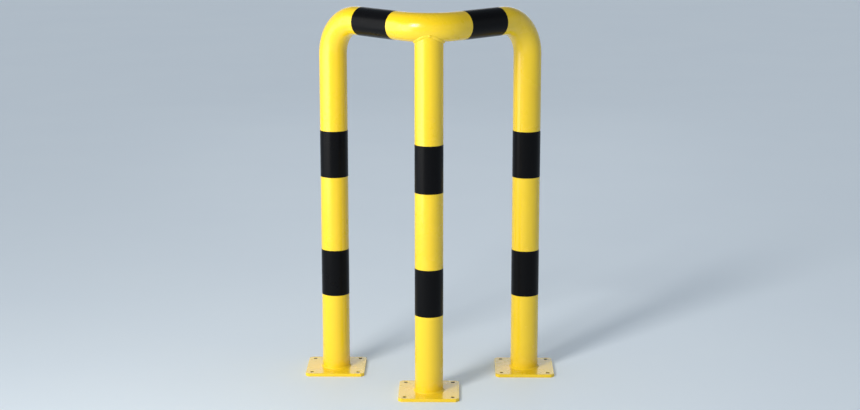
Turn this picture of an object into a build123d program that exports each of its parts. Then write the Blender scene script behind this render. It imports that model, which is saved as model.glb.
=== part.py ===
from build123d import *
from math import sqrt
import os

# Three-legged steel corner guard, fixed to the floor.
#
# Two legs and a corner post of one tube size stand on square anchor plates.
# Two level arms at right angles run from the legs to the corner, where the post
# is coped and welded under the bend that joins them. The hoop is made of straight
# tube and 90 degree butt-weld elbows, and black warning film is wrapped round the
# legs, the post and the arms.
#
# Frame: millimetres, +Z up, floor at Z = 0, origin on the corner post's axis.
# The corner points to -Y and the protected space lies on the +Y side. The guard
# is symmetric about the YZ plane, and its left side is the -X side.

# Driving dimensions
guard_height = 1200.0  # floor to the top of the arms
guard_width = 525.0  # along one arm, outside of the corner to outside of the leg
tube_diameter = 88.9
tube_wall = 3.2
bend_radius = 114.3  # centreline radius of every elbow
post_setback = 6.0  # post axis behind the apex of the corner elbow

plate_side = 190.0
plate_thickness = 10.0
plate_corner_cut = 10.0
plate_edge_break = 1.0
anchor_spacing = 150.0
anchor_hole_diameter = 12.0

base_weld_leg = 5.0
base_weld_hollow = 0.7  # how far its face curves in
butt_root_gap = 2.0  # between a straight tube and an elbow
butt_weld_width = 6.0
butt_weld_crown = 0.2  # left standing after grinding
butt_weld_lap_gap = 0.05  # under the crown, clear of the elbow's curve
saddle_gap = 1.0  # between the coped post and the elbow
saddle_back_drop = 12.0  # post's back wall stops this far under the elbow's axis
saddle_weld_leg = 4.5
saddle_weld_root = 6.0  # how far it reaches inside the post's bore

band_film = 0.3
band_seam = 1.0  # where the ends of a band meet
leg_band_width = 150.0
lower_band_height = 332.0  # floor to the middle of a band
upper_band_height = 722.0
arm_band_corner_margin = 29.75  # arm left yellow between the corner elbow and the band
arm_band_leg_margin = 22.75  # and between the band and the elbow above the leg

# Places worked out from them
tube_radius = tube_diameter / 2
bore_radius = tube_radius - tube_wall
arm_height = guard_height - tube_radius
arm_reach = guard_width - tube_diameter  # crossing of the arm axes to a leg's axis
arm_length = arm_reach - 2 * bend_radius
crossing_y = -(sqrt(2) - 1) * bend_radius - post_setback
bend_centre_y = bend_radius - post_setback
leg_x = arm_reach / sqrt(2)
leg_y = arm_reach / sqrt(2) + crossing_y
leg_top = arm_height - bend_radius
sides = {"left": -1, "right": 1}
uprights = {"left_leg": (-leg_x, leg_y), "right_leg": (leg_x, leg_y), "corner_post": (0, 0)}

os.makedirs("parts", exist_ok=True)


def keep(builder, node):
    """Label a finished piece and write its file."""
    builder.part.label = node
    export_step(builder.part, f"parts/{node}.step")


# Joints of the hoop, as planes square to the tube with their normals along it


def arm_direction(side):
    """From the corner towards a leg."""
    return Vector(side, 1, 0).normalized()


def arm_start(side):
    """Where the corner elbow ends and an arm starts, facing the leg."""
    direction = arm_direction(side)
    origin = Vector(0, crossing_y, arm_height) + direction * bend_radius
    return Plane(origin, x_dir=(0, 0, 1), z_dir=direction)


def arm_end(side):
    """Where an arm meets the elbow above its leg, facing into the elbow."""
    return arm_start(side).offset(arm_length)


def leg_end(side):
    """Where a leg meets its elbow, facing up into the elbow."""
    return Plane((side * leg_x, leg_y, leg_top))


def facing_back(plane):
    return Plane(plane.origin, x_dir=plane.x_dir, z_dir=-plane.z_dir)


def lengthwise(plane):
    """Plane through a tube's axis, with X out from the axis and Y along it."""
    return Plane(plane.origin, x_dir=plane.x_dir, z_dir=-plane.y_dir)


# Straight tubes, elbows and the butt welds between them


def straight_tube(node, start, length):
    """Tube along a plane's normal."""
    with BuildPart() as tube:
        with BuildSketch(start):
            Circle(tube_radius)
            Circle(bore_radius, mode=Mode.SUBTRACT)
        extrude(amount=length)
    keep(tube, node)


def elbow(node, start, turn):
    """Elbow turned 90 degrees from a plane."""
    with BuildPart() as bend:
        with BuildSketch(start):
            Circle(tube_radius)
            Circle(bore_radius, mode=Mode.SUBTRACT)
        revolve(axis=turn, revolution_arc=90)
    keep(bend, node)


def butt_weld(node, elbow_end):
    """Weld metal in the gap before an elbow, with a low crown over both edges."""
    gap = elbow_end.offset(-butt_root_gap / 2)
    lap_radius = tube_radius + butt_weld_lap_gap
    with BuildPart() as weld:
        with BuildSketch(lengthwise(gap)):
            with BuildLine():
                Polyline(
                    (lap_radius, -butt_weld_width / 2),
                    (lap_radius, -butt_root_gap / 2),
                    (bore_radius, -butt_root_gap / 2),
                    (bore_radius, butt_root_gap / 2),
                    (lap_radius, butt_root_gap / 2),
                    (lap_radius, butt_weld_width / 2),
                )
                ThreePointArc(
                    (lap_radius, butt_weld_width / 2),
                    (tube_radius + butt_weld_crown, 0),
                    (lap_radius, -butt_weld_width / 2),
                )
            make_face()
        revolve(axis=Axis(gap.origin, gap.z_dir))
    keep(weld, node)


for name, side in sides.items():
    foot = Plane((side * leg_x, leg_y, plate_thickness))
    straight_tube(f"{name}_leg_tube", foot, leg_top - butt_root_gap - plate_thickness)
    arm_foot = arm_start(side).offset(butt_root_gap)
    straight_tube(f"{name}_arm_tube", arm_foot, arm_length - 2 * butt_root_gap)

    turn_centre = leg_end(side).origin - arm_direction(side) * bend_radius
    leg_turn = Axis(turn_centre, arm_direction(side).cross(Vector(0, 0, 1)))
    elbow(f"{name}_elbow", leg_end(side), leg_turn)

    butt_weld(f"{name}_leg_butt_weld", leg_end(side))
    butt_weld(f"{name}_arm_outer_butt_weld", arm_end(side))
    butt_weld(f"{name}_arm_inner_butt_weld", facing_back(arm_start(side)))

corner_bend_start = facing_back(arm_start(sides["left"]))
corner_turn = Axis((0, bend_centre_y, arm_height), (0, 0, 1))
elbow("corner_elbow", corner_bend_start, corner_turn)


# Corner post, coped to the underside of the corner elbow, and the weld between them


def corner_bend_bar(radius):
    """Solid bar along the corner elbow's centreline."""
    with BuildPart() as bar:
        with BuildSketch(corner_bend_start):
            Circle(radius)
        revolve(axis=corner_turn, revolution_arc=90)
    return bar.part


elbow_envelope = corner_bend_bar(tube_radius)
cope = corner_bend_bar(tube_radius + saddle_gap)
weld_envelope = corner_bend_bar(tube_radius + saddle_weld_leg)
post_top = arm_height - saddle_back_drop

with BuildPart() as corner_post:
    with BuildSketch(Plane.XY.offset(plate_thickness)):
        Circle(tube_radius)
        Circle(bore_radius, mode=Mode.SUBTRACT)
    extrude(amount=post_top - plate_thickness)
    add(cope, mode=Mode.SUBTRACT)
keep(corner_post, "corner_post_tube")

with BuildPart() as saddle_weld:
    with BuildSketch(Plane.XY.offset(arm_height - tube_diameter)):
        Circle(tube_radius + saddle_weld_leg)
        Circle(bore_radius - saddle_weld_root, mode=Mode.SUBTRACT)
    extrude(amount=tube_diameter - saddle_back_drop + saddle_weld_leg)
    add(weld_envelope, mode=Mode.INTERSECT)
    add(elbow_envelope, mode=Mode.SUBTRACT)
    add(corner_post.part, mode=Mode.SUBTRACT)
keep(saddle_weld, "corner_saddle_weld")


# Anchor plates and the welds round the feet of the tubes


def base_plate(node, x, y):
    """Square plate with cut corners and four anchor holes."""
    with BuildPart() as plate:
        with BuildSketch(Plane((x, y, 0))) as outline:
            Rectangle(plate_side, plate_side)
            chamfer(outline.vertices(), plate_corner_cut)
        extrude(amount=plate_thickness)
        chamfer(plate.faces().sort_by(Axis.Z)[-1].edges(), plate_edge_break)
        with Locations((x, y, plate_thickness)):
            with GridLocations(anchor_spacing, anchor_spacing, 2, 2):
                Hole(anchor_hole_diameter / 2)
    keep(plate, node)


def base_weld(node, x, y):
    """Fillet weld round the foot of a tube, slightly hollow on its face."""
    foot = Plane((x, y, plate_thickness))
    face_depth = base_weld_leg / 2 - base_weld_hollow / sqrt(2)
    with BuildPart() as weld:
        with BuildSketch(lengthwise(foot)):
            with BuildLine():
                Polyline(
                    (tube_radius, base_weld_leg),
                    (tube_radius, 0),
                    (tube_radius + base_weld_leg, 0),
                )
                ThreePointArc(
                    (tube_radius + base_weld_leg, 0),
                    (tube_radius + face_depth, face_depth),
                    (tube_radius, base_weld_leg),
                )
            make_face()
        revolve(axis=Axis(foot.origin, foot.z_dir))
    keep(weld, node)


# Warning bands


def warning_band(node, start, width):
    """Film wrapped once round a tube, with its seam on the plane's -X side."""
    with BuildPart() as band:
        with BuildSketch(start):
            Circle(tube_radius + band_film)
            Circle(tube_radius, mode=Mode.SUBTRACT)
            with Locations((-tube_radius, 0)):
                Rectangle(2 * tube_wall, band_seam, mode=Mode.SUBTRACT)
        extrude(amount=width)
    keep(band, node)


for name, (x, y) in uprights.items():
    base_plate(f"{name}_base_plate", x, y)
    base_weld(f"{name}_base_weld", x, y)
    for level, height in (("lower", lower_band_height), ("upper", upper_band_height)):
        bottom = Plane((x, y, height - leg_band_width / 2), x_dir=(0, -1, 0))
        warning_band(f"{name}_{level}_band", bottom, leg_band_width)

for name, side in sides.items():
    band_start = arm_start(side).offset(arm_band_corner_margin)
    band_width = arm_length - arm_band_corner_margin - arm_band_leg_margin
    warning_band(f"{name}_arm_band", band_start, band_width)
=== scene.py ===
import math

import bmesh
import bpy
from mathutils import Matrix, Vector


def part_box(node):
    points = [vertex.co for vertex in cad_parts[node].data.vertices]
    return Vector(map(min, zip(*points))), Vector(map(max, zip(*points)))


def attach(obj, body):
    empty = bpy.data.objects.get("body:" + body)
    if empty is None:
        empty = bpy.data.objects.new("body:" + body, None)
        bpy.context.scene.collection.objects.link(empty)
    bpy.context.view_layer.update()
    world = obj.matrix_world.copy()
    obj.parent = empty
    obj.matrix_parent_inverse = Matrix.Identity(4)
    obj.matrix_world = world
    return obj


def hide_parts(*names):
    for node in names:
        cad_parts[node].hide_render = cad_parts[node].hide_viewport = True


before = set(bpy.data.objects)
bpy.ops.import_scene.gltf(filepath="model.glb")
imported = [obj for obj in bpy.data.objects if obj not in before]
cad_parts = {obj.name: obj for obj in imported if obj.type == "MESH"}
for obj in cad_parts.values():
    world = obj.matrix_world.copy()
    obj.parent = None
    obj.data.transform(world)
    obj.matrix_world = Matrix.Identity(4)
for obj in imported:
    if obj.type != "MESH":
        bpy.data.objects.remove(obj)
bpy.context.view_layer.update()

mm = 0.001
up = Vector((0, 0, 1))
scene = bpy.context.scene
scene.view_settings.view_transform = "Standard"

viewpoint = {
    "place": (0.082, -5.4416, 1.7883),
    "tiltDown": 12.257,  # degrees
    "turnLeft": 0.831,
    "lens": 75.556,
}


def addCamera():
    data = bpy.data.cameras.new("guardCamera")
    data.lens = viewpoint["lens"]
    data.clip_end = 200
    camera = bpy.data.objects.new("guardCamera", data)
    camera.location = viewpoint["place"]
    tilt = math.radians(90 - viewpoint["tiltDown"])
    camera.rotation_euler = (tilt, 0, math.radians(viewpoint["turnLeft"]))
    scene.collection.objects.link(camera)
    scene.camera = camera


addCamera()
print("camera placed")

# Places come from the frame's boxes, and this dictionary has what a box can't say.
guard = {
    "wall": 3.2 * mm,
    "bendRadius": 114.3 * mm,
    "rootGap": 2.0 * mm,  # at each butt joint
    "postSetback": 6.0 * mm,  # post axis behind the apex of the corner elbow
    "saddleGap": 1.0 * mm,
    "tongueDrop": 12.0 * mm,  # post's back wall ends this far under the arms' axis
}
sides = {"left": -1, "right": 1}
uprightNodes = {"leftLeg": "left_leg", "rightLeg": "right_leg", "cornerPost": "corner_post"}


def middle(node):
    low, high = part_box(node)
    return (low + high) / 2


legLow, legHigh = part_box("left_leg_tube")
tubeRadius = (legHigh.x - legLow.x) / 2
boreRadius = tubeRadius - guard["wall"]
bendRadius = guard["bendRadius"]
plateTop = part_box("left_leg_base_plate")[1].z
legTop = legHigh.z + guard["rootGap"]
armHeight = legTop + bendRadius
uprightAxes = {
    name: Vector((*middle(node + "_base_plate").xy, 0)) for name, node in uprightNodes.items()
}
legAxis = uprightAxes["rightLeg"]
crossing = Vector((0, legAxis.y - legAxis.x, armHeight))  # where the arms' axes meet
armReach = legAxis.x * math.sqrt(2)
bendCentre = Vector((0, bendRadius - guard["postSetback"], armHeight))


def armDirection(side):
    return Vector((side, 1, 0)).normalized()


def armPoint(side, distance):
    return crossing + armDirection(side) * distance


# Node trees are written as expressions on these two classes.
class Socket:
    # an output in a node tree: arithmetic on it adds Math nodes
    def __init__(self, tree, output):
        self.tree = tree
        self.output = output

    def math(self, operation, *inputs):
        settings = {"operation": operation}
        return self.tree.add("ShaderNodeMath", settings, dict(enumerate(inputs)))

    def __add__(self, other):
        return self.math("ADD", self, other)

    def __sub__(self, other):
        return self.math("SUBTRACT", self, other)

    def __rsub__(self, other):
        return self.math("SUBTRACT", other, self)

    def __mul__(self, other):
        return self.math("MULTIPLY", self, other)

    def __truediv__(self, other):
        return self.math("DIVIDE", self, other)

    __radd__ = __add__
    __rmul__ = __mul__

    def sine(self):
        return self.math("SINE", self)

    def between(self, low, high):
        # 0 at low, 1 at high, smooth between, whichever of the two is larger
        limits = {"Value": self, "From Min": low, "From Max": high}
        return self.tree.add("ShaderNodeMapRange", {"interpolation_type": "SMOOTHSTEP"}, limits)


class Tree:
    def __init__(self, nodeTree):
        self.nodeTree = nodeTree

    def add(self, kind, settings=None, inputs=None, output=0):
        node = self.nodeTree.nodes.new(kind)
        for name, value in (settings or {}).items():
            setattr(node, name, value)
        for name, value in (inputs or {}).items():
            if isinstance(value, Socket):
                self.nodeTree.links.new(value.output, node.inputs[name])
            else:
                node.inputs[name].default_value = value
        return Socket(self, node.outputs[output]) if len(node.outputs) else node

    def noise(self, place, scale, detail=2.0, roughness=0.5):
        sizes = {"Vector": place, "Scale": scale, "Detail": detail, "Roughness": roughness}
        return self.add("ShaderNodeTexNoise", {}, sizes)

    def mixColours(self, factor, first, second):
        # a colour mix's own sockets are 0, 6 and 7, and its result is output 2
        inputs = {0: factor, 6: first, 7: second}
        return self.add("ShaderNodeMix", {"data_type": "RGBA"}, inputs, output=2)

    def objectPlace(self):
        # Object is output 3 of the coordinates
        return self.add("ShaderNodeTexCoord", output=3)

    def heightOf(self, place):
        return self.add("ShaderNodeSeparateXYZ", {}, {"Vector": place}, output=2)

    def attribute(self, name):
        return self.add("ShaderNodeAttribute", {"attribute_name": name}, output=2)


# Finishes
def newMaterial(name):
    material = bpy.data.materials.new(name)
    material.use_nodes = True
    material.node_tree.nodes.clear()
    return material, Tree(material.node_tree)


shaderSockets = {
    "colour": "Base Color",
    "roughness": "Roughness",
    "normal": "Normal",
    "coat": "Coat Weight",
    "coatRoughness": "Coat Roughness",
    "ior": "IOR",
    "specular": "Specular IOR Level",
}


def shadeWith(tree, **inputs):
    values = {shaderSockets[name]: value for name, value in inputs.items()}
    shader = tree.add("ShaderNodeBsdfPrincipled", {}, values)
    tree.add("ShaderNodeOutputMaterial", {}, {"Surface": shader})


def bumpFrom(tree, height):
    # height is in metres
    return tree.add("ShaderNodeBump", {}, {"Height": height, "Distance": 1.0, "Strength": 1.0})


# A scale is a noise's number of patches in a metre. Limits are the noise's values at 0 and at 1.
powderCoat = {
    "colour": (0.86, 0.582, 0.008, 1),
    "thinColour": (0.82, 0.53, 0.006, 1),
    "thinness": 0.35,
    "thinLimits": (0.42, 0.72),
    "cloudScale": 7.0,
    "cloudLimits": (0.3, 0.8),
    "cloudRoughness": 0.05,
    "roughness": 0.24,
    "clearCoat": 0.45,
    "clearCoatRoughness": 0.18,
    "ior": 1.5,
    "grainScale": 900.0,
    "grainRoughness": 0.02,
    "peelPitch": 2.6 * mm,
    "peelHeight": 0.0035 * mm,
    "swellPitch": 21.667 * mm,
    "swellHeight": 0.00455 * mm,
    "dustColour": (0.66, 0.58, 0.40, 1),
    "dust": 0.06,
    "dustRoughness": 0.3,
    "dustScale": 38.0,
    "dustLimits": (0.46, 0.72),
    "dustTop": 50 * mm,
    "boreColour": (0.10, 0.062, 0.016, 1),  # painted shade inside the anchor holes, darkening their walls, which also carry a thin, dirty coat
    "boreRoughness": 0.4,
}


def makePowderCoat():
    coat = powderCoat
    material, tree = newMaterial("yellowPowderCoat")
    place = tree.objectPlace()
    peel = tree.noise(place, 1 / coat["peelPitch"], detail=1.0)
    swell = tree.noise(place, 1 / coat["swellPitch"])
    cloud = tree.noise(place, coat["cloudScale"], detail=4.0, roughness=0.6)
    grain = tree.noise(place, coat["grainScale"])
    patches = tree.noise(place, coat["dustScale"], detail=5.0, roughness=0.65)
    nearFloor = tree.heightOf(place).between(coat["dustTop"], plateTop)
    dust = nearFloor * patches.between(*coat["dustLimits"]) * coat["dust"]
    thin = cloud.between(*coat["thinLimits"]) * coat["thinness"]
    bore = tree.attribute("inHole")
    colour = tree.mixColours(thin, coat["colour"], coat["thinColour"])
    colour = tree.mixColours(dust, colour, coat["dustColour"])
    # the hole walls get painted shade on top of their thin, dirty coat
    colour = tree.mixColours(bore, colour, coat["boreColour"])
    roughness = coat["roughness"] + cloud.between(*coat["cloudLimits"]) * coat["cloudRoughness"]
    roughness += grain * coat["grainRoughness"]
    roughness += dust * coat["dustRoughness"]
    roughness += bore * coat["boreRoughness"]
    relief = peel * coat["peelHeight"] + swell * coat["swellHeight"]
    shadeWith(
        tree, colour=colour, roughness=roughness, normal=bumpFrom(tree, relief), ior=coat["ior"],
        coat=coat["clearCoat"], coatRoughness=coat["clearCoatRoughness"],
    )
    return material


warningFilm = {
    "colour": (0.0028, 0.0028, 0.0034, 1),
    "scuffColour": (0.022, 0.022, 0.024, 1),
    "scuffs": 0.35,
    "scuffLimits": (0.62, 0.85),
    "scuffPatches": (0.45, 0.7),
    "cloudScale": 16.0,
    "cloudLimits": (0.3, 0.8),
    "cloudRoughness": 0.08,
    "scuffRoughness": 0.25,
    "roughness": 0.27,
    "shine": 0.10,
    "ior": 1.46,
    "grainPitch": 0.45 * mm,
    "grainHeight": 0.006 * mm,
    "stretchAlong": 9.0,  # scales of the streaks round the tube and across the film
    "stretchAcross": 420.0,
    "stretchHeight": 0.018 * mm,
    "stretchWander": 0.6,
    "dustyEdge": 1.4 * mm,
    "dust": 0.5,
    "dustPatches": (0.35, 0.6),
}


def makeWarningFilm():
    film = warningFilm
    material, tree = newMaterial("blackWarningFilm")
    place = tree.objectPlace()
    edge = tree.attribute("fromEdge")
    along = tree.attribute("around")
    grain = tree.noise(place, 1 / film["grainPitch"], detail=1.0)
    cloud = tree.noise(place, film["cloudScale"], detail=4.0, roughness=0.6)
    drawn = {
        "X": along * film["stretchAlong"],
        "Y": edge * film["stretchAcross"],
        "Z": cloud * film["stretchWander"],
    }
    stretch = tree.noise(tree.add("ShaderNodeCombineXYZ", {}, drawn), 1.0)
    dusty = edge.between(film["dustyEdge"], 0.0) * cloud.between(*film["dustPatches"])
    scuff = stretch.between(*film["scuffLimits"]) * cloud.between(*film["scuffPatches"])
    scuff *= film["scuffs"]
    mask = dusty * film["dust"] + scuff
    colour = tree.mixColours(mask, film["colour"], film["scuffColour"])
    roughness = film["roughness"] + cloud.between(*film["cloudLimits"]) * film["cloudRoughness"]
    roughness += mask * film["scuffRoughness"]
    relief = grain * film["grainHeight"] + stretch * film["stretchHeight"]
    shadeWith(
        tree, colour=colour, roughness=roughness, normal=bumpFrom(tree, relief), ior=film["ior"],
        specular=film["shine"],
    )
    return material


studioFloor = {
    "colour": (0.76, 0.83, 0.89, 1),
    "shade": (0.73, 0.80, 0.87, 1),
    "cloudScale": 1.5,
    "roughness": 0.55,
    "cloudRoughness": 0.1,
    "size": 60.0,
}


def makeFloorPaint():
    material, tree = newMaterial("paleFloor")
    cloud = tree.noise(tree.objectPlace(), studioFloor["cloudScale"], detail=4.0)
    colour = tree.mixColours(cloud, studioFloor["colour"], studioFloor["shade"])
    roughness = studioFloor["roughness"] + cloud * studioFloor["cloudRoughness"]
    shadeWith(tree, colour=colour, roughness=roughness)
    return material


finishes = {"yellow_powder_coat": makePowderCoat(), "black_warning_film": makeWarningFilm()}
print("finishes made")


# Making pieces and handing them over
def newPiece(name, points, faces, edges=(), **attributes):
    mesh = bpy.data.meshes.new(name)
    mesh.from_pydata(points, list(edges), faces)
    for label, values in attributes.items():
        mesh.attributes.new(label, "FLOAT", "POINT").data.foreach_set("value", values)
    piece = bpy.data.objects.new(name, mesh)
    scene.collection.objects.link(piece)
    return piece


def ringFaces(rings, points, closed=False):
    # quads between rings of the same number of points, and between the last and first if closed
    faces = []
    for ring in range(rings if closed else rings - 1):
        for point in range(points):
            here, there = ring * points, (ring + 1) % rings * points
            beside = (point + 1) % points
            faces.append((here + point, here + beside, there + beside, there + point))
    return faces


def faceOutwards(mesh):
    work = bmesh.new()
    work.from_mesh(mesh)
    bmesh.ops.remove_doubles(work, verts=work.verts, dist=1e-7)
    bmesh.ops.recalc_face_normals(work, faces=work.faces)
    work.to_mesh(mesh)
    work.free()


def freeze(piece):
    # the evaluated object becomes a plain mesh
    evaluated = piece.evaluated_get(bpy.context.evaluated_depsgraph_get())
    mesh = bpy.data.meshes.new_from_object(evaluated)
    piece.modifiers.clear()
    piece.data = mesh


def hand(piece, node, slot, sharpAngle=38):
    # a finished piece takes a CAD node's place
    mesh = piece.data
    mesh.materials.clear()
    mesh.materials.append(finishes[slot])
    for polygon in mesh.polygons:
        polygon.use_smooth = True
    mesh.set_sharp_from_angle(angle=math.radians(sharpAngle))
    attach(piece, "root")
    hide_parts(node)


# Node trees for the tubes' skins and the welds' ripples
def newModifierTree(name, sizes):
    nodeTree = bpy.data.node_groups.new(name, "GeometryNodeTree")
    sockets = {"Geometry": "NodeSocketGeometry", **sizes, "Material": "NodeSocketMaterial"}
    for label, kind in sockets.items():
        nodeTree.interface.new_socket(label, in_out="INPUT", socket_type=kind)
    nodeTree.interface.new_socket("Geometry", in_out="OUTPUT", socket_type="NodeSocketGeometry")
    tree = Tree(nodeTree)
    group = nodeTree.nodes.new("NodeGroupInput")
    given = {output.name: Socket(tree, output) for output in group.outputs if output.name}
    return tree, given


def endTree(tree, given, geometry):
    realized = tree.add("GeometryNodeRealizeInstances", {}, {"Geometry": geometry})
    inputs = {"Geometry": realized, "Material": given["Material"]}
    coated = tree.add("GeometryNodeSetMaterial", {}, inputs)
    tree.add("NodeGroupOutput", {}, {"Geometry": coated})
    return tree.nodeTree


def addModifier(piece, nodeTree, **values):
    modifier = piece.modifiers.new(nodeTree.name, "NODES")
    modifier.node_group = nodeTree
    for item in nodeTree.interface.items_tree:
        key = item.name.replace(" ", "")
        key = key[0].lower() + key[1:]
        if item.in_out == "INPUT" and key in values:
            modifier[item.identifier] = values[key]


def makeTubeTree():
    # a tube's skin along a path of edges
    sizes = {"Radius": "NodeSocketFloat", "Around": "NodeSocketInt"}
    tree, given = newModifierTree("tubeSkin", sizes)
    path = tree.add("GeometryNodeMeshToCurve", {}, {"Mesh": given["Geometry"]})
    circle = {"Resolution": given["Around"], "Radius": given["Radius"]}
    profile = tree.add("GeometryNodeCurvePrimitiveCircle", {}, circle)
    sweep = {"Curve": path, "Profile Curve": profile}
    skin = tree.add("GeometryNodeCurveToMesh", {}, sweep)
    return endTree(tree, given, skin)


ripples = {
    "wanderScale": 70.0,
    "wander": 1.4,  # how far the ripples stray from their pitch
    "roundness": 0.6,  # share of a plain wave in the crests, and the rest is sharper
}


def makeWeldTree():
    # ripples of a weld bead, from values stored on its mesh: across is 0 to 1 over the face
    names = ["Ripple Depth", "Ripple Pitch", "Ripple Lag", "Unevenness", "Seed"]
    tree, given = newModifierTree("weldRipples", {name: "NodeSocketFloat" for name in names})

    def stored(name):
        return tree.add("GeometryNodeInputNamedAttribute", {"data_type": "FLOAT"}, {"Name": name})

    along, across, lump = stored("along"), stored("across"), stored("lump")
    centred = across * 2.0 - 1.0
    bulge = 1.0 - centred * centred
    spot = tree.add("GeometryNodeInputPosition")
    uneven = {"Vector": spot, "W": given["Seed"], "Scale": ripples["wanderScale"], "Detail": 2.0}
    wander = tree.add("ShaderNodeTexNoise", {"noise_dimensions": "4D"}, uneven)
    turns = along / given["Ripple Pitch"] + bulge * given["Ripple Lag"] + wander * ripples["wander"]
    ripple = (turns * (2 * math.pi)).sine()
    crest = ripple * ripples["roundness"] + ripple * ripple * (1 - ripples["roundness"])
    rise = bulge * (crest * given["Ripple Depth"] + (wander - 0.5) * given["Unevenness"] + lump)
    away = tree.add("GeometryNodeInputNormal")
    offset = tree.add("ShaderNodeVectorMath", {"operation": "SCALE"}, {0: away, "Scale": rise})
    inputs = {"Geometry": given["Geometry"], "Offset": offset}
    moved = tree.add("GeometryNodeSetPosition", {}, inputs)
    return endTree(tree, given, moved)


tubeTree = makeTubeTree()
weldTree = makeWeldTree()
print("node trees made")

tubeMesh = {"around": 128, "ringSpacing": 16 * mm, "bendSteps": 56}


def sweepTube(name, node, path):
    joins = [(index, index + 1) for index in range(len(path) - 1)]
    tube = newPiece(name, path, [], edges=joins)
    coat = finishes["yellow_powder_coat"]
    addModifier(tube, tubeTree, radius=tubeRadius, around=tubeMesh["around"], material=coat)
    wall = tube.modifiers.new("wall", "SOLIDIFY")
    wall.thickness = guard["wall"]
    wall.offset = -1
    freeze(tube)
    faceOutwards(tube.data)
    hand(tube, node, "yellow_powder_coat")


def straightPath(start, end):
    steps = max(1, round((end - start).length / tubeMesh["ringSpacing"]))
    return [start.lerp(end, step / steps) for step in range(steps + 1)]


def bendPath(centre, first, last):
    # quarter turn from centre + first to centre + last
    steps = tubeMesh["bendSteps"]
    turns = [math.pi / 2 * step / steps for step in range(steps + 1)]
    return [centre + first * math.cos(turn) + last * math.sin(turn) for turn in turns]


gap = guard["rootGap"]
for name, side in sides.items():
    leg = uprightAxes[name + "Leg"]
    direction = armDirection(side)
    foot, head = leg + up * plateTop, leg + up * (legTop - gap)
    sweepTube(f"{name}LegTube", f"{name}_leg_tube", straightPath(foot, head))
    near, far = armPoint(side, bendRadius + gap), armPoint(side, armReach - bendRadius - gap)
    sweepTube(f"{name}ArmTube", f"{name}_arm_tube", straightPath(near, far))
    turnCentre = leg + up * legTop - direction * bendRadius
    elbowPath = bendPath(turnCentre, direction * bendRadius, up * bendRadius)
    sweepTube(f"{name}Elbow", f"{name}_elbow", elbowPath)

leftEnd, rightEnd = (armPoint(side, bendRadius) - bendCentre for side in sides.values())
sweepTube("cornerElbow", "corner_elbow", bendPath(bendCentre, leftEnd, rightEnd))
print("tubes and elbows made")


# The corner post's top is coped to sit under the elbow.
def aroundAxis(axis, angle, radius, height):
    return Vector((axis.x + radius * math.cos(angle), axis.y + radius * math.sin(angle), height))


def copeHeight(point, clearance):
    offCentre = (point - bendCentre).xy.length - bendRadius
    reach = tubeRadius + clearance
    drop = math.sqrt(max(reach**2 - offCentre**2, guard["tongueDrop"] ** 2))
    return armHeight - drop


def makePost():
    around = tubeMesh["around"]
    axis = uprightAxes["cornerPost"]
    steps = round(armHeight / tubeMesh["ringSpacing"])
    points = []
    # up the outside, then down the bore
    walls = ((tubeRadius, range(steps + 1)), (boreRadius, range(steps, -1, -1)))
    for radius, order in walls:
        for step in order:
            for turn in range(around):
                point = aroundAxis(axis, 2 * math.pi * turn / around, radius, plateTop)
                top = copeHeight(point, guard["saddleGap"])
                point.z += (top - plateTop) * step / steps
                points.append(point)
    faces = ringFaces(2 * (steps + 1), around, closed=True)
    post = newPiece("cornerPostTube", points, faces)
    faceOutwards(post.data)
    hand(post, "corner_post_tube", "yellow_powder_coat")


makePost()
print("corner post made")

# A bead's ripples have a pitch, a depth and a lag: their middle runs ahead by lag pitches.
filletWeld = {
    "leg": 5.0 * mm,
    "crown": 0.25 * mm,
    "rootDepth": 1.2 * mm,
    "pitch": 2.1 * mm,
    "depth": 0.16 * mm,
    "lag": 0.7,
    "unevenness": 0.5 * mm,
    "stations": 900,
    "faceSteps": 10,
}
saddleWeld = {
    "leg": 5.0 * mm,
    "crown": 0.7 * mm,
    "cover": 0.4 * mm,  # over the post's top edge
    "rootDepth": 1.2 * mm,
    "cornerDepth": 1.6 * mm,
    "pitch": 2.4 * mm,
    "depth": 0.28 * mm,
    "lag": 0.8,
    "unevenness": 1.1 * mm,
    "restart": 1.9 * mm,  # height of the lumps where the bead was started and stopped
    "restartLength": 4.0 * mm,
    "frontRestart": 3.0 * mm,  # off the middle of the front, and of the back
    "backRestart": -5.0 * mm,
    "stations": 1100,
    "faceSteps": 12,
}
flushWeld = {
    "width": 6.0 * mm,
    "crown": 0.12 * mm,
    "toeDepth": 0.02 * mm,
    "rootDepth": 0.5 * mm,
    "pitch": 3.0 * mm,
    "depth": 0.015 * mm,
    "lag": 0.2,
    "unevenness": 0.06 * mm,
    "stations": 240,
    "faceSteps": 10,
}
sunk = 0.06 * mm  # the toes of the other two welds lie this far under the metal's skin


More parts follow.
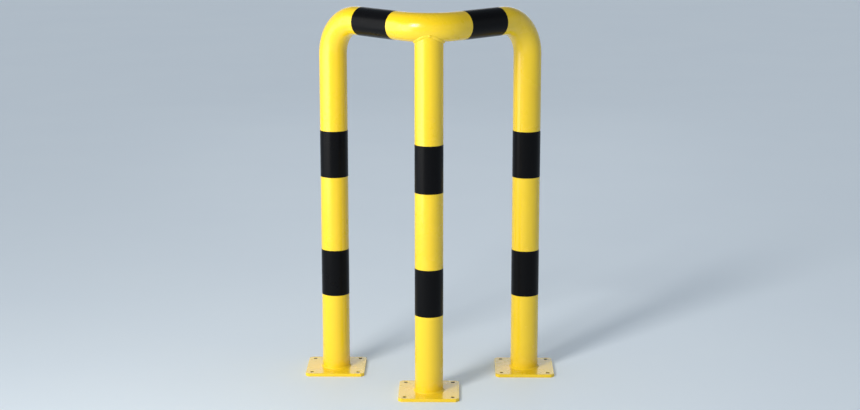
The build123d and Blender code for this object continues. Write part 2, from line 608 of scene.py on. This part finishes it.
def weldRing(name, node, stations, bead, seed):
    # each station is (first toe, second toe, crown vector, hidden points, lump height)
    points, along, across, lumps = [], [], [], []
    faceSteps = bead["faceSteps"]
    travelled = 0.0
    previous = None
    for firstToe, secondToe, crown, hidden, lump in stations:
        centre = (firstToe + secondToe) / 2
        travelled += (centre - previous).length if previous else 0.0
        previous = centre
        for step in range(faceSteps + 1):
            share = step / faceSteps
            points.append(firstToe.lerp(secondToe, share) + crown * (4 * share * (1 - share)))
            across.append(share)
        points.extend(hidden)
        across.extend([0.0] * len(hidden))
        count = faceSteps + 1 + len(hidden)
        along.extend([travelled] * count)
        lumps.extend([lump] * count)
    firstCentre = (stations[0][0] + stations[0][1]) / 2
    travelled += (firstCentre - previous).length
    perRing = len(points) // len(stations)
    faces = ringFaces(len(stations), perRing, closed=True)
    weld = newPiece(name, points, faces, along=along, across=across, lump=lumps)
    faceOutwards(weld.data)
    wholePitch = travelled / round(travelled / bead["pitch"])  # so that the ripples meet
    addModifier(
        weld, weldTree, rippleDepth=bead["depth"], ripplePitch=wholePitch, rippleLag=bead["lag"],
        unevenness=bead["unevenness"], seed=seed, material=finishes["yellow_powder_coat"],
    )
    freeze(weld)
    hand(weld, node, "yellow_powder_coat", sharpAngle=50)


def angles(count):
    return [2 * math.pi * turn / count for turn in range(count)]


def footWeld(name, node, axis, seed):
    leg = filletWeld["leg"]
    stations = []
    for angle in angles(filletWeld["stations"]):
        outward = Vector((math.cos(angle), math.sin(angle), 0))
        corner = aroundAxis(axis, angle, tubeRadius, plateTop)
        onTube = corner + up * leg - outward * sunk
        onPlate = corner + outward * leg - up * sunk
        root = corner - (outward + up) * filletWeld["rootDepth"]
        crown = (outward + up).normalized() * filletWeld["crown"]
        stations.append((onTube, onPlate, crown, [root], 0.0))
    weldRing(name, node, stations, filletWeld, seed)


for seed, (name, node) in enumerate(uprightNodes.items()):
    footWeld(f"{name}BaseWeld", f"{node}_base_weld", uprightAxes[name], seed + 1.5)


def elbowSkin(point):
    # nearest point on the corner elbow's skin, and the direction out of it
    flat = (point - bendCentre) * Vector((1, 1, 0))
    core = bendCentre + flat.normalized() * bendRadius
    out = (point - core).normalized()
    return core + out * tubeRadius, out


def saddleEdge(angle):
    edge = aroundAxis(uprightAxes["cornerPost"], angle, tubeRadius, 0)
    edge.z = copeHeight(edge, 0)
    return edge


def restartLump(distance):
    return saddleWeld["restart"] * math.exp(-((distance / saddleWeld["restartLength"]) ** 2))


def pointing(vector, wanted):
    # vector as a unit, turned round if it points away from wanted
    vector = vector.normalized()
    return vector if vector.dot(wanted) >= 0 else -vector


def makeSaddleWeld():
    leg = saddleWeld["leg"]
    nextStep = 0.01  # radians, for the edge's tangent
    stations = []
    for angle in angles(saddleWeld["stations"]):
        edge = saddleEdge(angle)
        tangent = (saddleEdge(angle + nextStep) - saddleEdge(angle - nextStep)).normalized()
        fromPost = Vector((math.cos(angle), math.sin(angle), 0))
        fromElbow = elbowSkin(edge)[1]
        downPost = pointing(tangent.cross(fromPost), -up)
        upElbow = pointing(tangent.cross(fromElbow), fromPost + up)
        onPost = edge + downPost * leg
        onElbow, elbowOut = elbowSkin(edge + upElbow * leg)
        onPost -= fromPost * sunk
        onElbow -= elbowOut * sunk
        chord = (onElbow - onPost).normalized()
        out = fromPost + fromElbow
        out = (out - chord * out.dot(chord)).normalized()
        # enough crown to bury the post's top edge where it stands clear of the elbow
        proud = (edge - onPost).dot(out)
        crown = out * (saddleWeld["crown"] + max(0.0, proud + saddleWeld["cover"]))
        hidden = [
            onElbow - elbowOut * saddleWeld["rootDepth"],
            edge - (fromPost + elbowOut) * saddleWeld["cornerDepth"],
            onPost - fromPost * saddleWeld["rootDepth"],
        ]
        fromFront = math.remainder(angle + math.pi / 2, 2 * math.pi) * tubeRadius
        fromBack = math.remainder(angle - math.pi / 2, 2 * math.pi) * tubeRadius
        lump = restartLump(fromFront - saddleWeld["frontRestart"])
        lump += restartLump(fromBack - saddleWeld["backRestart"])
        stations.append((onPost, onElbow, crown, hidden, lump))
    weldRing("cornerSaddleWeld", "corner_saddle_weld", stations, saddleWeld, seed=7.0)


makeSaddleWeld()


def flushButtWeld(name, node, centre, axis, seed):
    # axis is a unit vector along the tube
    sideways = axis.orthogonal().normalized()
    across = axis.cross(sideways)
    half, halfGap = flushWeld["width"] / 2, gap / 2
    skin = tubeRadius - flushWeld["toeDepth"]
    under = tubeRadius - flushWeld["rootDepth"]
    # radius and distance along the tube of the points inside the joint
    inside = [(under, halfGap), (boreRadius, halfGap), (boreRadius, -halfGap), (under, -halfGap)]
    stations = []
    for angle in angles(flushWeld["stations"]):
        out = sideways * math.cos(angle) + across * math.sin(angle)
        toe = centre + out * skin
        hidden = [centre + out * radius + axis * shift for radius, shift in inside]
        crown = out * flushWeld["crown"]
        stations.append((toe - axis * half, toe + axis * half, crown, hidden, 0.0))
    weldRing(name, node, stations, flushWeld, seed)


for name, side in sides.items():
    leg = uprightAxes[name + "Leg"]
    direction = armDirection(side)
    joints = {
        ("LegButtWeld", "leg_butt_weld"): (leg + up * (legTop - gap / 2), up),
        ("ArmOuterButtWeld", "arm_outer_butt_weld"): (
            armPoint(side, armReach - bendRadius - gap / 2), direction,
        ),
        ("ArmInnerButtWeld", "arm_inner_butt_weld"): (
            armPoint(side, bendRadius + gap / 2), direction,
        ),
    }
    for seed, ((label, node), (centre, axis)) in enumerate(joints.items()):
        flushButtWeld(name + label, f"{name}_{node}", centre, axis, seed + side * 3.0)
print("welds made")

plate = {
    "cornerCut": 10 * mm,
    "holeRadius": 6 * mm,
    "holeSpacing": 150 * mm,
    "edgeRadius": 0.6 * mm,
    "edgeSegments": 3,
    "cell": 5 * mm,  # mesh spacing
    "holeRings": 4,
    "ringGrowth": 1.4,  # the rings lie closer together near the hole
}


def markHoles(mesh, centre, holeAt):
    # 1 on the walls of the holes, 0 everywhere else: where the painted shade and dirt of the holes
    # go
    wallReach = plate["holeRadius"] + 0.05 * mm
    inHole = []
    for vertex in mesh.vertices:
        offX = abs(vertex.co.x - centre.x) - holeAt
        offY = abs(vertex.co.y - centre.y) - holeAt
        inHole.append(1.0 if math.hypot(offX, offY) < wallReach else 0.0)
    mesh.attributes.new("inHole", "FLOAT", "POINT").data.foreach_set("value", inHole)


def openEdges(cells):
    uses = {}
    for cell in cells:
        for start, end in zip(cell, cell[1:] + cell[:1]):
            edge = (min(start, end), max(start, end))
            uses[edge] = uses.get(edge, 0) + 1
    return [edge for edge, count in uses.items() if count == 1]


def makePlate(name, node):
    low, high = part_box(node)
    centre = (low + high) / 2
    half = (high.x - low.x) / 2
    holeAt = plate["holeSpacing"] / 2
    margin = half - holeAt
    inner = holeAt - margin
    points, cells, known = [], [], {}

    def corner(x, y):
        # the number of the underside's point at x, y from the middle
        key = (round(x, 6), round(y, 6))
        if key not in known:
            known[key] = len(points)
            points.append((centre.x + x, centre.y + y, low.z))
        return known[key]

    def grid(fromX, toX, fromY, toY):
        columns = round((toX - fromX) / plate["cell"])
        rows = round((toY - fromY) / plate["cell"])
        xs = [fromX + (toX - fromX) * i / columns for i in range(columns + 1)]
        ys = [fromY + (toY - fromY) * j / rows for j in range(rows + 1)]
        for i in range(columns):
            for j in range(rows):
                nearX, farX, nearY, farY = xs[i], xs[i + 1], ys[j], ys[j + 1]
                ends = [(nearX, nearY), (farX, nearY), (farX, farY), (nearX, farY)]
                cells.append([corner(*end) for end in ends])

    def holeCell(signX, signY):
        # quads from the hole's rim out to the cell's border, with the plate's corner cut off
        perSide = round(2 * margin / plate["cell"])
        steps = [-margin + 2 * margin * i / perSide for i in range(perSide)]
        border = [(s, -margin) for s in steps] + [(margin, s) for s in steps]
        border += [(-s, margin) for s in steps] + [(-margin, -s) for s in steps]
        cut = 2 * margin - plate["cornerCut"]
        rings = []
        for ring in range(plate["holeRings"] + 1):
            share = (ring / plate["holeRings"]) ** plate["ringGrowth"]
            row = []
            for x, y in border:
                length = math.hypot(x, y)
                rim = (x / length * plate["holeRadius"], y / length * plate["holeRadius"])
                scale = min(1.0, cut / (x + y)) if x + y > 0 else 1.0
                spot = [r + (b * scale - r) * share for r, b in zip(rim, (x, y))]
                row.append(corner(signX * (holeAt + spot[0]), signY * (holeAt + spot[1])))
            rings.append(row)
        for nearer, farther in zip(rings, rings[1:]):
            for i in range(len(border)):
                j = (i + 1) % len(border)
                cells.append([nearer[i], nearer[j], farther[j], farther[i]])

    grid(-inner, inner, -inner, inner)
    for sign in (-1, 1):
        near, far = sorted((sign * inner, sign * half))
        grid(near, far, -inner, inner)
        grid(-inner, inner, near, far)
        holeCell(sign, -1)
        holeCell(sign, 1)
    # the top has the underside's cells, and walls stand on the edges that only one cell has
    raised = len(points)
    faces = cells + [[index + raised for index in cell] for cell in cells]
    faces += [(a, b, b + raised, a + raised) for a, b in openEdges(cells)]
    points += [(x, y, high.z) for x, y, z in points]
    piece = newPiece(name, points, faces)
    faceOutwards(piece.data)
    rounding = piece.modifiers.new("edges", "BEVEL")
    rounding.width = plate["edgeRadius"]
    rounding.segments = plate["edgeSegments"]
    rounding.limit_method = "ANGLE"
    rounding.angle_limit = math.radians(30)
    freeze(piece)
    markHoles(piece.data, centre, holeAt)
    hand(piece, node, "yellow_powder_coat")


for name, node in uprightNodes.items():
    makePlate(f"{name}BasePlate", f"{node}_base_plate")
print("base plates made")

band = {
    "film": 0.15 * mm,
    "lift": 0.02 * mm,  # adhesive under the film
    "overlap": 12 * mm,
    "ramp": 2.5 * mm,  # where the film climbs over its own end
    "around": 180,
    "rowSpacing": 5 * mm,
}


def wrapBand(name, node, start, axis, seam, width):
    # film wound once round a tube from its seam direction, lapping over its own end
    across = axis.cross(seam)
    lap = band["overlap"] / tubeRadius
    turns = [(2 * math.pi + lap) * i / band["around"] for i in range(band["around"] + 1)]
    rows = round(width / band["rowSpacing"])
    points, around, fromEdge = [], [], []
    for turn in turns:
        # 0 on the tube, 1 on the film's own end, smooth on the ramp between
        climb = (turn - 2 * math.pi) * tubeRadius / band["ramp"] + 1
        climb = min(max(climb, 0.0), 1.0)
        climb = climb * climb * (3 - 2 * climb)
        inside = tubeRadius + band["lift"] + climb * (band["film"] + band["lift"])
        out = seam * math.cos(turn) + across * math.sin(turn)
        # out along the film's face, then back along its underside
        sheets = ((inside + band["film"], range(rows + 1)), (inside, range(rows, -1, -1)))
        for radius, order in sheets:
            for row in order:
                distance = width * row / rows
                points.append(start + axis * distance + out * radius)
                around.append(turn * tubeRadius)
                fromEdge.append(min(distance, width - distance))
    perTurn = 2 * (rows + 1)
    faces = ringFaces(len(turns), perTurn)
    last = (len(turns) - 1) * perTurn
    # faces that close the film's two ends
    for row in range(rows):
        opposite = perTurn - 1 - row
        faces.append((row, row + 1, opposite - 1, opposite))
        faces.append(tuple(last + index for index in (opposite, opposite - 1, row + 1, row)))
    piece = newPiece(name, points, faces, around=around, fromEdge=fromEdge)
    faceOutwards(piece.data)
    hand(piece, node, "black_warning_film")


back = Vector((0, 1, 0))
for name, node in uprightNodes.items():
    for level in ("lower", "upper"):
        bandNode = f"{node}_{level}_band"
        low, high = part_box(bandNode)
        start = uprightAxes[name] + up * low.z
        wrapBand(f"{name}{level.title()}Band", bandNode, start, up, back, high.z - low.z)

for name, side in sides.items():
    # the band's box corners give its ends along the arm
    node = f"{name}_arm_band"
    low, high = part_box(node)
    direction = armDirection(side)
    filmRadius = (high.z - low.z) / 2
    width = (high.x - low.x) * math.sqrt(2) - 2 * filmRadius
    centreDistance = (middle(node) - crossing).dot(direction)
    start = armPoint(side, centreDistance - width / 2)
    wrapBand(f"{name}ArmBand", node, start, direction, -up, width)
print("warning bands made")

# A lamp's "lights" says what it falls on, which is everything where it isn't given.
lamps = {
    "key": {
        "place": (-1.5, -2.2, 2.05), "size": (0.7, 1.0), "power": 46, "colour": (1.0, 0.97, 0.91),
    },
    "softWindow": {
        "place": (-1.85, -1.2, 1.0), "size": (1.3, 1.8), "power": 23, "colour": (1.0, 0.99, 0.96),
        "lights": "guard",
    },
    "leftEdge": {
        "place": (-1.85, -0.1, 1.05), "size": (1.0, 1.7), "power": 9, "colour": (1.0, 1.0, 0.98),
        "lights": "guard",
    },
    "fill": {
        "place": (3.6, -3.2, 1.8), "size": (2.0, 2.4), "power": 6, "colour": (0.92, 0.96, 1.0),
        "glossy": False,
    },
    "backFill": {
        "place": (0.8, 4.5, 2.4), "size": (3.0, 2.4), "power": 34, "colour": (0.95, 0.98, 1.0),
        "glossy": False, "lights": "guard",
    },
    # only its reflection shows, as a sheen on what lies flat
    "backSheen": {
        "place": (0, 6.0, 1.8), "size": (3.4, 1.8), "power": 15, "colour": (0.93, 0.97, 1.0),
        "diffuse": False,
    },
}
lampAim = (0, 0.1, 0.65)
# The suns' strength and spread, in degrees, with the place that they shine from.
farKey = {"place": (-0.56, -0.76, 0.62), "power": 0.8, "spread": 12, "colour": (1.0, 0.98, 0.95)}
floorWash = {"place": (0, 0.01, 5), "power": 0.9, "spread": 60, "colour": (0.95, 0.98, 1.0)}
sky = {
    "horizon": (0.70, 0.79, 0.87, 1),  # as pale as the far floor
    "bright": (0.80, 0.88, 0.96, 1),
    "zenith": (0.20, 0.24, 0.29, 1),
    "brightHeight": 0.1,  # heights are sines of the angle over the horizon
    "zenithStart": 0.12,
    "zenithEnd": 0.6,
    "strength": 0.64,
}


def addLight(name, kind, place, aim, power, colour, glossy=True, diffuse=True, lights=None):
    data = bpy.data.lights.new(name, kind)
    data.energy = power
    data.color = colour
    light = bpy.data.objects.new(name, data)
    light.location = place
    light.rotation_euler = (Vector(aim) - Vector(place)).to_track_quat("-Z", "Y").to_euler()
    light.visible_glossy = glossy
    light.visible_diffuse = diffuse
    light.visible_camera = False
    if lights:
        chosen = bpy.data.collections.new(name + "Falls")
        chosen.objects.link(floor)
        state = "INCLUDE" if lights == "floor" else "EXCLUDE"
        chosen.collection_objects[0].light_linking.link_state = state
        light.light_linking.receiver_collection = chosen
    scene.collection.objects.link(light)
    return data


def addSun(name, values, **limits):
    settings = {key: value for key, value in values.items() if key != "spread"}
    data = addLight(name, "SUN", aim=(0, 0, 0), **settings, **limits)
    data.angle = math.radians(values["spread"])


def addLights():
    for name, lamp in lamps.items():
        values = {key: value for key, value in lamp.items() if key != "size"}
        data = addLight(name, "AREA", aim=lampAim, **values)
        data.shape = "RECTANGLE"
        data.size, data.size_y = lamp["size"]
    # even light for the whole floor, from the key's side and from overhead
    addSun("farKey", farKey, glossy=False)
    addSun("floorWash", floorWash, lights="floor")


def addSky():
    # brightest a little above the horizon
    world = bpy.data.worlds.new("studio")
    world.use_nodes = True
    world.node_tree.nodes.clear()
    tree = Tree(world.node_tree)
    height = tree.heightOf(tree.add("ShaderNodeTexCoord"))
    rise = height.between(0.0, sky["brightHeight"])
    fall = height.between(sky["zenithStart"], sky["zenithEnd"])
    low = tree.mixColours(rise, sky["horizon"], sky["bright"])
    colour = tree.mixColours(fall, low, sky["zenith"])
    glow = tree.add("ShaderNodeBackground", {}, {"Color": colour, "Strength": sky["strength"]})
    tree.add("ShaderNodeOutputWorld", {}, {"Surface": glow})
    scene.world = world


def addFloor():
    half = studioFloor["size"] / 2
    points = [(-half, -half, 0), (half, -half, 0), (half, half, 0), (-half, half, 0)]
    floor = newPiece("studioFloor", points, [(0, 1, 2, 3)])
    floor.data.materials.append(makeFloorPaint())
    return floor


floor = addFloor()
addLights()
addSky()
print("studio set")
